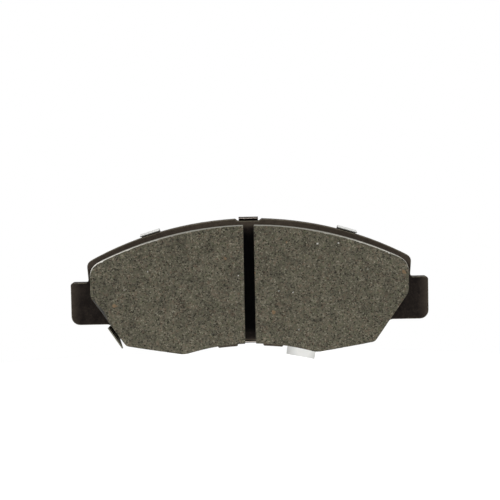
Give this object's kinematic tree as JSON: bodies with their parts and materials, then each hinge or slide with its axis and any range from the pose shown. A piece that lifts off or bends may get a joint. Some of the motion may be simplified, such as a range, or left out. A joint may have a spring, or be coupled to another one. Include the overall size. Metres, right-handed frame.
{
  "type": "brake pad",
  "caption": "Disc brake pad: arched steel plate with end ears, a friction face split by a slot, clipped-on damping shims and a wear-indicator strip.",
  "frame": {"origin": "on the back of the outer shim, where the caliper's piston presses, on the centre line between the ears and level with the middle of the plate", "axes": "+X from the left ear to the right ear as seen from the disc, +Y along the disc's axis away from the disc, +Z away from the disc's axis, towards the disc's rim"},
  "size_m": [0.1366, 0.0184, 0.056],
  "materials": {
    "plate_paint": "satin",
    "underlayer": "matte",
    "friction_material": "matte",
    "shim_core_steel": "satin",
    "shim_rubber": "matte",
    "shim_stainless": "satin",
    "spring_steel": "satin",
    "rivet_steel": "satin"
  },
  "bodies": {
    "pad": {"backing_plate": "plate_paint", "underlayer_left": "underlayer", "underlayer_right": "underlayer", "friction_block_left": "friction_material", "friction_block_right": "friction_material", "wear_indicator": "spring_steel", "wear_indicator_rivet": "rivet_steel"},
    "inner_shim": {"inner_shim_core": "shim_core_steel", "inner_shim_front_coat": "shim_rubber", "inner_shim_back_coat": "shim_rubber"},
    "outer_shim": {"outer_shim": "shim_stainless"}
  },
  "joints": [
    {"name": "inner_shim_slide", "type": "slide", "parent": "pad", "child": "inner_shim", "axis": [0, 1, 0], "range_m": [0, 0.02]},
    {"name": "outer_shim_slide", "type": "slide", "parent": "inner_shim", "child": "outer_shim", "axis": [0, 1, 0], "range_m": [0, 0.02]}
  ]
}
